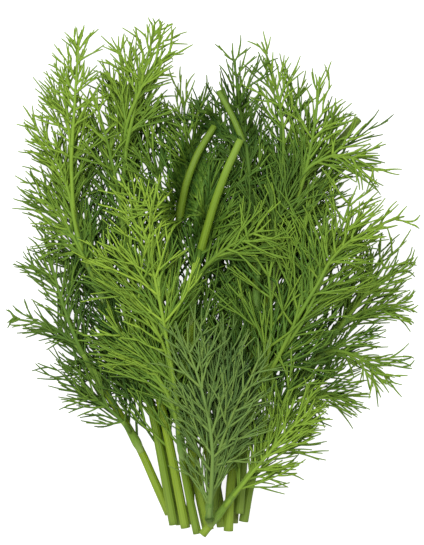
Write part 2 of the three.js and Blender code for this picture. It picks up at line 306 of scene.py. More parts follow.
def read_frond(node):
    """A frond's midrib from the stalk out, and the line of each of its side branches from the midrib."""
    widest_tip = 2 * MM
    station_gap = 1.3 * MM
    points, beside = flattened(*node_points(node))
    tips = []
    corner = None
    for i, near in enumerate(beside):
        if len(near) != 2:
            continue
        a, b = near
        reach = min(norm(points[a] - points[i]), norm(points[b] - points[i]))
        width = norm(points[a] - points[b])
        if width < widest_tip and width < reach:
            tips.append(i)
        else:
            corner = i
    end = max(tips, key=lambda i: sum(len(beside[j]) for j in beside[i]))
    twigs = [i for i in tips if i != end]
    middles = {j for i in twigs for j in beside[i]}
    ribbon = [i for i in range(len(points)) if i not in middles and i not in tips]
    partner = min(beside[corner], key=lambda j: norm(points[j] - points[corner]))
    from_base = np.minimum(steps_from(corner, points, beside), steps_from(partner, points, beside))
    along = from_base - steps_from(end, points, beside)
    stations = grouped(points[ribbon], along[ribbon], station_gap)
    rachis = np.array([station.mean(0) for station in stations] + [points[end]])
    pinnae = []
    for tip in twigs:
        pair = beside[tip]
        edge = [j for i in pair for j in beside[i] if j in ribbon]
        root = points[edge].mean(0)
        nearest = rachis[np.argmin(norm(rachis - root, axis=1))]
        pinnae.append(np.array([(root + nearest) / 2, points[list(pair)].mean(0), points[tip]]))
    return rachis, pinnae


def stalk_middle(stem):
    """A stalk's middle line with its bends rounded, and its radius along it."""
    line, radius = read_stem(stem)
    return smoothed(line, STALK_BEND), radius


# ---- Lines and rods ---------------------------------------------------------------------------


def smoothstep(low, high, value):
    """Rises from 0 at low to 1 at high, gently at both ends."""
    share = np.clip((value - low) / (high - low), 0, 1)
    return share * share * (3 - 2 * share)


def unit(vectors):
    return vectors / np.maximum(norm(vectors, axis=-1, keepdims=True), 1e-12)


def arc_lengths(line):
    return np.concatenate([[0], np.cumsum(norm(np.diff(line, axis=0), axis=1))])


def at_lengths(line, lengths):
    """The points of a line at these lengths along it."""
    along = arc_lengths(line)
    return np.stack([np.interp(lengths, along, line[:, axis]) for axis in range(3)], axis=-1)


def smoothed(line, reach):
    """The line resampled at even steps, its corners rounded over the reach, its ends kept."""
    total = arc_lengths(line)[-1]
    count = max(4, int(round(total / STEP)) + 1)
    even = at_lengths(line, np.linspace(0, total, count))
    half = max(1, int(round(reach / (total / (count - 1)) / 2)))
    before = 2 * even[0] - even[half:0:-1]
    after = 2 * even[-1] - even[-2:-half - 2:-1]
    padded = np.concatenate([before, even, after])
    weights = np.hanning(2 * half + 3)[1:-1]
    weights /= weights.sum()
    return np.stack([np.convolve(padded[:, axis], weights, "valid") for axis in range(3)], axis=-1)


def place_on(line, share):
    """The point and the heading at a share of the way along a line."""
    beside = 0.02
    near = np.clip(np.array([share - beside, share, share + beside]), 0, 1) * arc_lengths(line)[-1]
    behind, here, ahead = at_lengths(line, near)
    return here, unit(ahead - behind)


def turned(vector, axis, angle):
    """The vector turned about the axis."""
    cosine, sine = math.cos(angle), math.sin(angle)
    return vector * cosine + np.cross(axis, vector) * sine + axis * np.dot(axis, vector) * (1 - cosine)


def curved(start, first, last, length, count):
    """A line that leaves the start along first and comes to head along last, pressed towards level."""
    middle = start + unit(first * LEVELLING) * length / 2
    end = middle + unit(last * LEVELLING) * length / 2
    share = np.linspace(0, 1, count)[:, None]
    return (1 - share) ** 2 * start + 2 * share * (1 - share) * middle + share**2 * end


def cross_axes(lines):
    """The heading at each point of each line, and two directions square to it."""
    tangents = unit(np.gradient(lines, axis=-2))
    steep = np.abs(tangents[..., 2].mean(-1, keepdims=True))[..., None] > 0.9
    reference = np.where(steep, np.array([1.0, 0, 0]), UP)
    side = unit(np.cross(tangents, reference))
    return tangents, side, np.cross(side, tangents)


def directions(side, rise, turn):
    """The directions that lie at these angles from side, turning towards rise."""
    return side[..., None, :] * np.cos(turn)[..., None] + rise[..., None, :] * np.sin(turn)[..., None]


@cache
def clear_stalk_points():
    """The upper parts of the stalks that nothing thin lies across."""
    lines = [(stalk_middle(stem)[0], from_y) for stem, from_y in CLEAR_STALKS.items()]
    return np.concatenate([line[line[:, 1] > from_y] for line, from_y in lines])


def outward_share(point):
    """How far out of the bunch a point lies: 0 in its middle, 1 at its outline."""
    return float(norm(point[:2] / HALF_PLAN))


def settle(line):
    """Presses a line down where it would cross a clear stalk, and back towards the model's box."""
    stalks = clear_stalk_points()
    apart = norm(line[:, None, :2] - stalks[None, :, :2], axis=-1)
    closeness = 1 - smoothstep(*CLEAR_REACH, apart.min(1))
    below = stalks[apart.argmin(1), 2] - CLEAR_DROP
    line[:, 2] -= closeness * np.maximum(line[:, 2] - below, 0)
    line[:, 2] -= DRAWN_BACK * np.maximum(line[:, 2] - HEIGHT, 0)
    beyond = np.maximum(np.abs(line[:, :2]) - EDGE * HALF_PLAN, 0)
    line[:, :2] -= np.sign(line[:, :2]) * DRAWN_BACK * beyond


class Rods:
    """Tapered round rods with pointed ends, gathered to become one mesh."""

    def __init__(self):
        self.kinds = {}

    def add(self, line, start, end, tone, sides=5):
        """Adds a rod of two end radii, with painted light towards the outline and top, painted shade
        inside.
        """
        line = line.copy()
        settle(line)
        # Painted shade: the tone falls towards the bunch's middle and lower down, and rises at its outline
        # and top.
        rim = smoothstep(*RIM, outward_share(line.mean(0)))
        tone = tone + RIM_PAINTED_LIGHT * rim + HEIGHT_PAINTED_SHADING * (line[:, 2].mean() / HEIGHT - 0.5)
        line[:, 2] = np.maximum(line[:, 2], np.linspace(start, end, len(line)) + FLOOR_GAP)
        self.kinds.setdefault((len(line), sides), []).append((line, start, end, tone))

    def mesh(self, name):
        """One mesh of all the rods, mapped by tone across and by the way along them."""
        tip_radii = 1.5
        shading_width = 0.012
        builder = MeshBuilder()
        for (count, sides), rods in self.kinds.items():
            lines = np.array([rod[0] for rod in rods])
            share = np.linspace(0, 1, count)
            start, end, tone = (np.array([rod[i] for rod in rods])[:, None] for i in (1, 2, 3))
            radius = start + (end - start) * share
            tangents, side, rise = cross_axes(lines)
            turn = np.arange(sides) * 2 * math.pi / sides
            shell = lines[:, :, None] + radius[:, :, None, None] * directions(side, rise, turn)
            tips = lines[:, -1] + tangents[:, -1] * radius[:, -1:] * tip_radii
            spread = shading_width * np.cos(turn)
            u = np.broadcast_to((tone[:, :, None] + spread), (len(rods), count, sides))
            v = np.broadcast_to(share[:, None], u.shape)
            shell_at = builder.add_points(shell, np.stack([u, v * ROD_SPAN + ROD_FROM], axis=-1))
            tip_places = np.stack([tone[:, 0], np.full(len(rods), ROD_TIP)], axis=-1)
            tips_at = builder.add_points(tips, tip_places)
            here, beside = shell_at, np.roll(shell_at, -1, axis=2)
            builder.add_faces(here[:, :-1], here[:, 1:], beside[:, 1:], beside[:, :-1])
            builder.add_faces(here[:, -1], tips_at[:, None], beside[:, -1])
            builder.add_caps(here[:, 0])
        return builder.mesh(name)


class MeshBuilder:
    """Points with a place on the bake map, and faces on them, for one mesh."""

    def __init__(self):
        self.points, self.places, self.faces = [], [], []
        self.count = 0

    def add_points(self, points, places):
        """Adds points of any shape (..., 3) and returns their numbers in that shape."""
        shape = points.shape[:-1]
        numbers = self.count + np.arange(int(np.prod(shape))).reshape(shape)
        self.points.append(points.reshape(-1, 3))
        self.places.append(places.reshape(-1, 2))
        self.count += numbers.size
        return numbers

    def add_faces(self, *corners, material=0):
        """Adds faces by their first corners, their second and so on, anticlockwise from outside."""
        self.add_caps(np.stack(np.broadcast_arrays(*corners), axis=-1), material)

    def add_caps(self, rims, material=0):
        """Adds faces given as (..., corners), anticlockwise from outside."""
        self.faces.append((rims.reshape(-1, rims.shape[-1]), material))

    def mesh(self, name):
        """The finished mesh. One with faults is an error."""
        points, places = np.concatenate(self.points), np.clip(np.concatenate(self.places), 0, 1)
        loops = np.concatenate([faces.ravel() for faces, _ in self.faces])
        sizes = np.concatenate([np.full(len(faces), faces.shape[1]) for faces, _ in self.faces])
        materials = np.concatenate([np.full(len(faces), index) for faces, index in self.faces])
        mesh = bpy.data.meshes.new(name)
        mesh.vertices.add(len(points))
        mesh.vertices.foreach_set("co", points.astype(np.float32).ravel())
        mesh.loops.add(len(loops))
        mesh.loops.foreach_set("vertex_index", loops.astype(np.int32))
        mesh.polygons.add(len(sizes))
        mesh.polygons.foreach_set("loop_start", (np.cumsum(sizes) - sizes).astype(np.int32))
        mesh.polygons.foreach_set("material_index", materials.astype(np.int32))
        mesh.polygons.foreach_set("use_smooth", np.ones(len(sizes), bool))
        layer = mesh.uv_layers.new(name=BAKE_MAP)
        layer.uv.foreach_set("vector", places[loops].astype(np.float32).ravel())
        mesh.update(calc_edges=True)
        if mesh.validate():
            raise RuntimeError(f"{name}: the mesh had faults")
        return mesh


def add_piece(name, mesh, materials, node=None):
    """Puts a mesh in the scene as a piece, in place of a node of the model where one is given."""
    piece = bpy.data.objects.new(name, mesh)
    bpy.context.scene.collection.objects.link(piece)
    for material in materials:
        mesh.materials.append(material)
    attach(piece, BODY)
    if node:
        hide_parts(node)


# ---- Growing fronds ---------------------------------------------------------------------------


def leaning(rng, heading, plane, hand, angles, spread=1):
    """The heading turned to one hand in a plane, by an angle drawn from between two in degrees."""
    return turned(heading, plane, hand * spread * math.radians(rng.uniform(*angles)))


def grow_twigs(rods, rng, line, first, normal, tone, habit):
    """Grows paired twigs, and threads on them, along a side branch or the end of a midrib."""
    total = arc_lengths(line)[-1]
    pairs = max(1, int(round(total * (1 - first) / habit.spacing)))
    for pair in range(pairs):
        for hand in (-1, 1):
            share = first + (1 - first) * (pair + 0.3 + 0.3 * (hand > 0) + rng.uniform(-0.25, 0.25)) / pairs
            if rng.random() < habit.gaps:
                continue
            root, heading = place_on(line, min(share, 0.96))
            left = total * (1 - share)
            length = (0.75 * habit.length + 0.4 * left) * rng.uniform(0.55, 1.3)
            length = min(length, 1.4 * habit.length, left + TWIG_OVERHANG)
            plane = turned(normal, heading, rng.normal(0, 0.6))
            outward = leaning(rng, heading, plane, hand, TWIG_ANGLES, habit.spread)
            onward = unit(outward + heading * rng.uniform(0, 0.8) + rng.normal(0, 0.2, 3))
            twig = curved(root, outward, onward, length, 5)
            twig_tone = tone + rng.normal(0, 0.1)
            rods.add(twig, habit.thread * TWIG_WIDTH, habit.thread * TWIG_WIDTH / 2, twig_tone)
            grow_threads(rods, rng, twig, length, plane, twig_tone, habit)


def grow_threads(rods, rng, twig, length, plane, tone, habit):
    """Grows the last threads on alternate sides of a twig."""
    forks = int(round((length - 0.35 * habit.length) / FORK_SPACING))
    hand = rng.choice((-1, 1))
    for fork in range(forks):
        hand = -hand
        if rng.random() < 0.25:
            continue
        share = 0.12 + 0.68 * (fork + rng.uniform(0.3, 0.8)) / forks
        root, heading = place_on(twig, share)
        reach = (0.45 * habit.length + 0.35 * length * (1 - share)) * rng.uniform(0.75, 1.25)
        reach = min(reach, length * (1 - share) + THREAD_OVERHANG)
        side = turned(plane, heading, rng.normal(0, 0.6))
        outward = leaning(rng, heading, side, hand, THREAD_ANGLES, habit.spread)
        onward = unit(outward + heading * rng.uniform(-0.1, 0.6) + rng.normal(0, 0.22, 3))
        thread = curved(root, outward, onward, reach, 4)
        width = habit.thread * THREAD_WIDTH
        rods.add(thread, width, width / 2, tone + rng.normal(0, 0.07), sides=4)


def footed_midrib(frond, rachis, rib_radius):
    """A frond's midrib, led down to its stalk in a slow curve where it starts high above it."""
    least_lift = 3.6 * MM
    stem_line, stem_radius = stalk_middle(sprig_of(frond) + "_stem")
    lengths = arc_lengths(stem_line)
    nearest = np.argmin(norm(stem_line - rachis[0], axis=1))
    lift = rachis[0, 2] - stem_line[nearest, 2]
    if lift < least_lift:
        return rachis
    start = max(lengths[nearest] - 1.7 * lift - 4 * MM, 0.2 * lengths[nearest])
    foot, heading = place_on(stem_line, start / lengths[-1])
    foot = foot + UP * (stem_radius.mean() + 0.8 * rib_radius)
    reach = norm(rachis[0] - foot) / 2.5
    leaving = foot + heading * reach
    joining = rachis[0] - unit(rachis[3] - rachis[0]) * reach
    share = np.linspace(0, 1, 12)[:-1, None]
    curve = (
        (1 - share) ** 3 * foot + 3 * share * (1 - share) ** 2 * leaving
        + 3 * share**2 * (1 - share) * joining + share**3 * rachis[0]
    )
    return np.concatenate([curve, rachis])


def with_pinnae_between(line, pinnae, rng, crowd):
    """Each side branch with its share along the midrib, and shorter ones grown between some of them."""
    found = []
    for hand in (-1, 1):
        row = []
        for pinna in pinnae:
            share = np.argmin(norm(line - pinna[0], axis=1)) / (len(line) - 1)
            _, heading = place_on(line, share)
            if np.cross(heading, pinna[-1] - pinna[0])[2] * hand > 0:
                row.append((share, pinna))
        row.sort(key=lambda entry: entry[0])
        for near, far in zip(row, row[1:]):
            if rng.random() > crowd:
                continue
            share = (near[0] + far[0]) / 2
            root, _ = place_on(line, share)
            middle = (near[1] + far[1]) / 2
            found.append((share, root + (middle - middle[0]) * 0.85))
        found += row
    return found


def grow_frond(node, rng, settings):
    """All the rods of one frond: its midrib, side branches, twigs and threads."""
    rods = Rods()
    rachis, pinnae = read_frond(node)
    rachis = footed_midrib(node, rachis, settings.rachis_radius)
    line = smoothed(rachis, MIDRIB_BEND)[:-2]
    top = line[:, 2].mean() / HEIGHT
    # Lower fronds start darker, as painted shade; the rest of the spread is random.
    tone = 0.34 + 0.1 * (top - 0.5) + rng.uniform(-0.1, 0.1)
    breadth = max(norm(pinna[-1] - pinna[0]) for pinna in pinnae)
    size = np.clip(breadth / USUAL_BREADTH, 0.6, 1.1)
    rim = smoothstep(0.65, 0.95, outward_share(line[-1]))
    gaps = rim * OPEN_FRONDS.get(sprig_of(node), USUAL_OPENNESS)
    habit = leaf_habit(settings, rng.uniform(0.65, 1.05), size * rng.uniform(0.9, 1.15), 0.06 + gaps)
    rods.add(line, settings.rachis_radius, settings.pinna_radius * 0.7, tone + RIB_LIGHT, sides=8)
    crowding = CROWDING[SLOT_OF[node]] * (1 - 2 * gaps)
    last_root = 0
    for share, pinna in with_pinnae_between(line, pinnae, rng, crowding):
        last_root = max(last_root, share)
        _, heading = place_on(line, share)
        outward = unit(pinna[-1] - pinna[0])
        normal = unit(np.cross(heading, outward))
        normal = normal if normal[2] > 0 else -normal
        bend = normal * rng.normal(0, 0.09) + np.cross(normal, outward) * rng.normal(0, 0.11)
        reach = norm(pinna[-1] - pinna[0])
        pinna = pinna[0] + (pinna - pinna[0]) * settings.pinna_share
        pinna = pinna + np.array([0, 1, 1.5])[:, None] * bend * reach
        branch = smoothed(pinna, BRANCH_BEND)
        branch_tone = tone + 0.3 * (share - 0.4) + rng.normal(0, 0.07)
        width = settings.pinna_radius * min(1, 0.75 + reach / (80 * MM))
        rods.add(branch, width, habit.thread * 0.45, branch_tone + RIB_LIGHT, sides=6)
        grow_twigs(rods, rng, branch, 0.1, normal, branch_tone, habit)
    total = arc_lengths(line)[-1]
    crown = at_lengths(line, np.linspace(last_root, 1, 6) * total)
    grow_twigs(rods, rng, crown, 0.1, UP, tone + 0.2, habit)
    if outward_share(line.mean(0)) < settings.undergrowth_reach:
        grow_undergrowth(rods, rng, line, breadth, settings)
    return rods


def grow_undergrowth(rods, rng, line, breadth, settings):
    """Sprays that hang below a frond in the thick of the bunch, darker than it as painted shade."""
    total = arc_lengths(line)[-1]
    habit = leaf_habit(settings, 0.9, 1.1)
    for number in range(int(total / settings.leaflet_spacing)):
        root, heading = place_on(line, rng.uniform(0.02, 0.7))
        hand = 1 if number % 2 else -1
        outward = leaning(rng, heading, UP, hand, SPRAY_ANGLES)
        length = rng.uniform(0.5, 1) * min(LONGEST_SPRAY, breadth + 6 * MM)
        sink = np.array([0, 0, -root[2] * rng.uniform(0.3, 0.8) / length])
        spray = curved(root, unit(outward + sink), unit(outward + heading * 0.4 + sink / 2), length, 7)
        # A low tone: painted shade of the thick of the bunch.
        tone = 0.14 + rng.normal(0, 0.08)
        rods.add(spray, settings.pinna_radius, habit.thread * 0.5, tone + 0.05, sides=6)
        grow_twigs(rods, rng, spray, 0.12, UP, tone, habit)


def leaf_habit(settings, spread, vigour, gaps=0.1):
    """How a leaf grows: its threads' sizes, how far they spread, and how many are missing."""
    return SimpleNamespace(
        gaps=gaps,
        spacing=settings.thread_spacing * vigour,
        length=settings.thread_length * vigour,
        thread=settings.thread_radius,
        spread=spread,
    )


def grow_leaflets(line, radius, rng, settings, start):
    """Small sprays that leave a stalk between its fronds and fill the inside of the bunch."""
    rods = Rods()
    habit = leaf_habit(settings, 1, 1)
    total = arc_lengths(line)[-1]
    leafy_share = 0.88
    at = start
    while at < total * leafy_share:
        root, heading = place_on(line, at / total)
        around = turned(np.cross(UP, heading), heading, rng.uniform(-0.5, math.pi + 0.5))
        around = unit(around * np.array([1, 1, 0.35]))
        outward = unit(heading + around * rng.uniform(0.35, 0.8))
        onward = unit(outward + heading * rng.uniform(0.2, 1))
        length = rng.uniform(*LEAFLET_LENGTHS) * MM * (1.1 - 0.35 * at / total)
        spray = curved(root + around * radius * 0.7, outward, onward, length, 8)
        spray[:, 2] = np.minimum(spray[:, 2], min(HEIGHT * 0.85, root[2]))
        # Darker the lower a spray starts: painted shade inside the bunch.
        tone = 0.16 + 0.3 * (root[2] / HEIGHT - 0.3) + rng.normal(0, 0.08)
        normal = unit(np.cross(outward, np.cross(UP, outward)))
        rods.add(spray, settings.pinna_radius, habit.thread * 0.5, tone + 0.06, sides=6)
        grow_twigs(rods, rng, spray, 0.15, normal, tone, habit)
        at += settings.leaflet_spacing * rng.uniform(0.6, 1.1)
    return rods


# ---- Growing stalks ---------------------------------------------------------------------------


def grow_stalk(line, radius, cut_top, settings):
    """The points and faces of a ridged stalk with a cut foot, and a cut or a rounded top."""
    station_spacing = 2.2 * MM
    columns_per_ridge = 4
    total = arc_lengths(line)[-1]
    stations = max(12, int(total / station_spacing))
    lengths = np.linspace(0, total, stations)
    if not cut_top:
        rounded = min(5 * MM, total * 0.3)
        lengths = np.concatenate([
            lengths[lengths < total - rounded],
            total - rounded * np.cos(np.linspace(0, 1, 7)[:-1] * math.pi / 2),
            [total - 0.02 * MM],
        ])
    centres = at_lengths(line, lengths)
    radii = np.interp(lengths, np.linspace(0, total, len(radius)), radius)
    if not cut_top:
        radii = radii * np.sqrt(np.clip(1 - np.clip(1 - (total - lengths) / rounded, 0, 1) ** 2, 0.004, 1))
    _, side, rise = cross_axes(centres)
    columns = settings.ridges * columns_per_ridge
    turn = np.arange(columns) * 2 * math.pi / columns
    groove = 1 - settings.ridge_depth * (0.5 + 0.5 * np.cos(settings.ridges * turn))
    ring = directions(side, rise, turn)
    builder = MeshBuilder()
    shell = centres[:, None] + (radii[:, None] * groove)[..., None] * ring
    around = np.broadcast_to(turn / (2 * math.pi), shell.shape[:2])
    v = np.broadcast_to((lengths / total * SKIN_SPAN + SKIN_FROM)[:, None], around.shape)
    shell_at = builder.add_points(shell, np.stack([around, v], axis=-1))
    beside = np.roll(shell_at, -1, axis=1)
    builder.add_faces(shell_at[:-1], shell_at[1:], beside[1:], beside[:-1])
    add_cut(builder, shell_at[0], centres[0], centres[1], ring[0], radii[0] * groove, at_foot=True)
    if cut_top:
        add_cut(builder, shell_at[-1], centres[-1], centres[-2], ring[-1], radii[-1] * groove)
    else:
        builder.add_caps(shell_at[-1][::-1])
    return builder


def add_cut(builder, rim, centre, inner, ring, radii, at_foot=False):
    """Closes an end with a flat rim of tissue round a shallow, soft pith."""
    pith_depth = 0.55 * MM
    into = unit(inner - centre)
    turn = np.arange(len(rim)) / len(rim)
    rows = [rim]
    for share, depth in ((0.9, -0.05), (0.66, 0.0), (0.56, 0.35), (0.3, 0.5)):
        points = centre + into * depth * MM + (radii * share)[:, None] * ring
        places = np.stack([turn, np.full(len(rim), CUT_FROM + CUT_SPAN * (1 - share))], axis=-1)
        rows.append(builder.add_points(points, places))
    middle = builder.add_points(centre + into * pith_depth, np.array([0.5, CUT_FROM + CUT_SPAN]))
    for outer, row in zip(rows, rows[1:]):
        corners = (outer, np.roll(outer, -1), np.roll(row, -1), row)
        builder.add_faces(*(corners if at_foot else corners[::-1]), material=1)
    corners = (rows[-1], np.roll(rows[-1], -1), middle)
    builder.add_faces(*(corners if at_foot else corners[::-1]), material=1)


def grow_sheath(builder, stem_line, stem_radius, rachis, rib_radius, settings):
    """The clasping base of a frond: a shell round its stalk that narrows into the midrib."""
    rows = 18
    half = 10
    past_joint = 3.5 * MM
    inset = 0.12 * MM
    total = arc_lengths(stem_line)[-1]
    joint = arc_lengths(stem_line)[np.argmin(norm(stem_line - rachis[0], axis=1))]
    reach = min(settings.sheath_length, joint * 0.8)
    share = np.linspace(0, 1, rows)
    lengths = np.clip(joint - reach + (reach + past_joint) * share, 0, total)
    centres = at_lengths(stem_line, lengths)
    tangents = unit(np.gradient(centres, axis=0))
    radii = np.interp(lengths, np.linspace(0, total, len(stem_radius)), stem_radius)
    facing = rachis[0] - at_lengths(stem_line, np.array([joint]))[0]
    outward = unit(facing - (tangents @ facing)[:, None] * tangents)
    beside = np.cross(tangents, outward)
    # How far round the stalk the shell reaches to each side, from its foot to the midrib.
    wrap = np.radians(35 + 85 * smoothstep(0, 0.4, share) - 55 * smoothstep(0.55, 1, share))
    lift = MM * (0.02 + 0.5 * smoothstep(0, 0.35, share))
    fan = np.linspace(-1, 1, half)
    angles = wrap[:, None] * np.concatenate([fan, -fan])
    outer = np.concatenate([np.ones(half), np.zeros(half)])
    edge = 1 - np.concatenate([fan, -fan]) ** 2
    distance = radii[:, None] + np.where(outer, lift[:, None] * (0.35 + 0.65 * edge), -inset)
    clasp = centres[:, None] + distance[..., None] * directions(outward, beside, angles)
    rib_share = np.clip((share - 0.5) / 0.5, 0, 1) * min(6 * MM, arc_lengths(rachis)[-1] * 0.3)
    rib = at_lengths(rachis, rib_share)
    turn = np.concatenate([fan * math.pi / 2, math.pi / 2 + (fan + 1) * math.pi / 2])
    rib_radius = rib_radius * (1.25 - 0.2 * share)
    round_section = rib[:, None] + rib_radius[:, None, None] * directions(outward, beside, turn)
    blend = smoothstep(0.45, 0.95, share)[:, None, None]
    shell = clasp * (1 - blend) + round_section * blend
    shell[..., 2] = np.maximum(shell[..., 2], FLOOR_GAP)
    places = np.stack(np.broadcast_arrays(
        np.concatenate([(fan + 1) / 4, 0.5 + (fan + 1) / 4]), share[:, None] * 0.98 + 0.01
    ), axis=-1)
    shell_at = builder.add_points(shell, places)
    after = np.roll(shell_at, -1, axis=1)
    builder.add_faces(shell_at[:-1], after[:-1], after[1:], shell_at[1:])
    builder.add_caps(shell_at[0][::-1])
    builder.add_caps(shell_at[-1])


# ---- Materials --------------------------------------------------------------------------------


def new_tree_node(tree, kind, **values):
    node = tree.nodes.new(kind)
    for name, value in values.items():
        setattr(node, name, value)
    return node


def set_sockets(node, values):
    """Sets the plain values of a node's sockets, given by name."""
    for name, value in values.items():
        node.inputs[name].default_value = value


def bake_coordinates(tree):
    """The place on a plant mesh's bake map, and its two numbers."""
    place = new_tree_node(tree, "ShaderNodeUVMap", uv_map=BAKE_MAP)
    split = new_tree_node(tree, "ShaderNodeSeparateXYZ")
    tree.links.new(place.outputs["UV"], split.inputs["Vector"])
    return place.outputs["UV"], split.outputs["X"], split.outputs["Y"]


def math_node(tree, operation, first, second=None, clamp=False):
    node = new_tree_node(tree, "ShaderNodeMath", operation=operation, use_clamp=clamp)
    for socket, value in zip(node.inputs, (first, second)):
        if isinstance(value, bpy.types.NodeSocket):
            tree.links.new(value, socket)
        elif value is not None:
            socket.default_value = value
    return node.outputs[0]


def mix_colours(tree, factor, first, second):
    node = new_tree_node(tree, "ShaderNodeMix", data_type="RGBA")
    for name, value in (("Factor", factor), ("A", first), ("B", second)):
        socket = next(socket for socket in node.inputs if socket.name == name and socket.enabled)
        if isinstance(value, bpy.types.NodeSocket):
            tree.links.new(value, socket)
        else:
            socket.default_value = value if name == "Factor" else (*value, 1)
    return next(socket for socket in node.outputs if socket.enabled)


def group_of(name, inputs, outputs):
    """A shader node group with these sockets, and its input and output nodes."""
    group = bpy.data.node_groups.new(name, "ShaderNodeTree")
    for label, kind in inputs:
        group.interface.new_socket(label, in_out="INPUT", socket_type=kind)
    for label, kind in outputs:
        group.interface.new_socket(label, in_out="OUTPUT", socket_type=kind)
    return group, group.nodes.new("NodeGroupInput"), group.nodes.new("NodeGroupOutput")


def plant_grain_group():
    """Fine lengthwise streaks and soft mottling, as a mask for colour and a height for bumps."""
    name = "Plant Grain"
    if name in bpy.data.node_groups:
        return bpy.data.node_groups[name]
    group, given, out = group_of(
        name,
        [("Place", "NodeSocketVector"), ("Streaks", "NodeSocketFloat"), ("Mottle", "NodeSocketFloat")],
        [("Grain", "NodeSocketFloat"), ("Height", "NodeSocketFloat")],
    )
    scaled = new_tree_node(group, "ShaderNodeCombineXYZ")
    split = new_tree_node(group, "ShaderNodeSeparateXYZ")
    group.links.new(given.outputs["Place"], split.inputs["Vector"])
    for axis, amount in (("X", "Streaks"), ("Y", "Mottle")):
        stretched = math_node(group, "MULTIPLY", split.outputs[axis], given.outputs[amount])
        group.links.new(stretched, scaled.inputs[axis])
    noise = new_tree_node(group, "ShaderNodeTexNoise", noise_dimensions="2D")
    set_sockets(noise, {"Scale": 1, "Detail": 3})
    group.links.new(scaled.outputs[0], noise.inputs["Vector"])
    group.links.new(noise.outputs["Fac"], out.inputs["Height"])
    spread = new_tree_node(group, "ShaderNodeMapRange")
    set_sockets(spread, {"From Min": 0.3, "From Max": 0.7})
    group.links.new(noise.outputs["Fac"], spread.inputs["Value"])
    group.links.new(spread.outputs["Result"], out.inputs["Grain"])
    return group


def place_grain(tree, place, streaks, mottle):
    node = new_tree_node(tree, "ShaderNodeGroup", node_tree=plant_grain_group())
    tree.links.new(place, node.inputs["Place"])
    set_sockets(node, {"Streaks": streaks, "Mottle": mottle})
    return node.outputs["Grain"], node.outputs["Height"]


def new_material(name, roughness, specular):
    material = bpy.data.materials.new(name)
    material.use_nodes = True
    tree = material.node_tree
    shader = tree.nodes["Principled BSDF"]
    set_sockets(shader, {"Roughness": roughness, "Specular IOR Level": specular})
    return material, tree, shader


def add_bump(tree, shader, height, distance):
    bump = new_tree_node(tree, "ShaderNodeBump")
    set_sockets(bump, {"Strength": 0.5, "Distance": distance})
    tree.links.new(height, bump.inputs["Height"])
    tree.links.new(bump.outputs["Normal"], shader.inputs["Normal"])


def scaled_colour(colour, *factors):
    return tuple(min(1.0, channel * factor) for channel, factor in zip(colour, factors))


def leaf_material(name, colour):
    """Thread tissue: painted shade to painted light by the tone of the thread, paler at forks and towards
    its tip.
    """
    material, tree, shader = new_material(name, roughness=0.6, specular=0.2)
    place, tone, along = bake_coordinates(tree)
    grain, height = place_grain(tree, place, 90, 14)
    # Shaded and lit copies of the leaf colour, as painted shade and painted light, mixed by the tone, which
    # holds random tone and painted shade.
    shade = scaled_colour(colour, 0.36, 0.5, 0.5)
    light = scaled_colour(colour, 1.75, 1.45, 1.15)
    pale = scaled_colour(colour, 2.3, 1.8, 2.0)
    painted_shade_and_mottle = math_node(tree, "ADD", tone, math_node(tree, "MULTIPLY", grain, 0.12), clamp=True)
    body = mix_colours(tree, painted_shade_and_mottle, shade, light)
    coolness, _ = place_grain(tree, place, 37, 2)
    cool_shade = scaled_colour(shade, 0.7, 0.95, 1.5)
    cool_light = scaled_colour(light, 0.72, 0.92, 1.6)
    cool = mix_colours(tree, painted_shade_and_mottle, cool_shade, cool_light)
    body = mix_colours(tree, math_node(tree, "MULTIPLY", coolness, 0.5), body, cool)
    fork = math_node(tree, "POWER", math_node(tree, "SUBTRACT", 1.0, along, clamp=True), 8.0)
    tip = math_node(tree, "POWER", along, 6.0)
    ends = math_node(tree, "MULTIPLY", math_node(tree, "ADD", fork, tip), 0.2, clamp=True)
    tree.links.new(mix_colours(tree, ends, body, pale), shader.inputs["Base Color"])
    add_bump(tree, shader, height, 0.06 * MM)
    return material


def stalk_material(name, colour, pale):
    """Stalk skin: lengthwise streaks, a paler foot, and a soft green further up."""
    material, tree, shader = new_material(name, roughness=0.5, specular=0.28)
    place, _, along = bake_coordinates(tree)
    streak, height = place_grain(tree, place, 60, 7)
    mottle, _ = place_grain(tree, place, 5, 22)
    dark = scaled_colour(colour, 0.62, 0.68, 0.6)
    light = scaled_colour(colour, 1.55, 1.45, 1.6)
    body = mix_colours(tree, streak, dark, light)
    soft = math_node(tree, "MULTIPLY", mottle, 0.25)
    body = mix_colours(tree, soft, body, scaled_colour(colour, 1.1, 0.95, 0.6))
    upper = math_node(tree, "SUBTRACT", along, 0.3, clamp=True)
    upper = math_node(tree, "MULTIPLY", upper, 1.6, clamp=True)
    soft_green = (0.5 * colour[0] + 0.1, 0.5 * colour[1] + 0.165, UPPER_BLUE)
    body = mix_colours(tree, upper, body, soft_green)
    foot = math_node(tree, "POWER", math_node(tree, "SUBTRACT", 1.0, along, clamp=True), 6.0)
    foot = math_node(tree, "MULTIPLY", foot, 0.2, clamp=True)
    tree.links.new(mix_colours(tree, foot, body, pale), shader.inputs["Base Color"])
    rough = math_node(tree, "ADD", math_node(tree, "MULTIPLY", streak, 0.15), 0.36)
    tree.links.new(rough, shader.inputs["Roughness"])
    add_bump(tree, shader, height, 0.15 * MM)
    return material


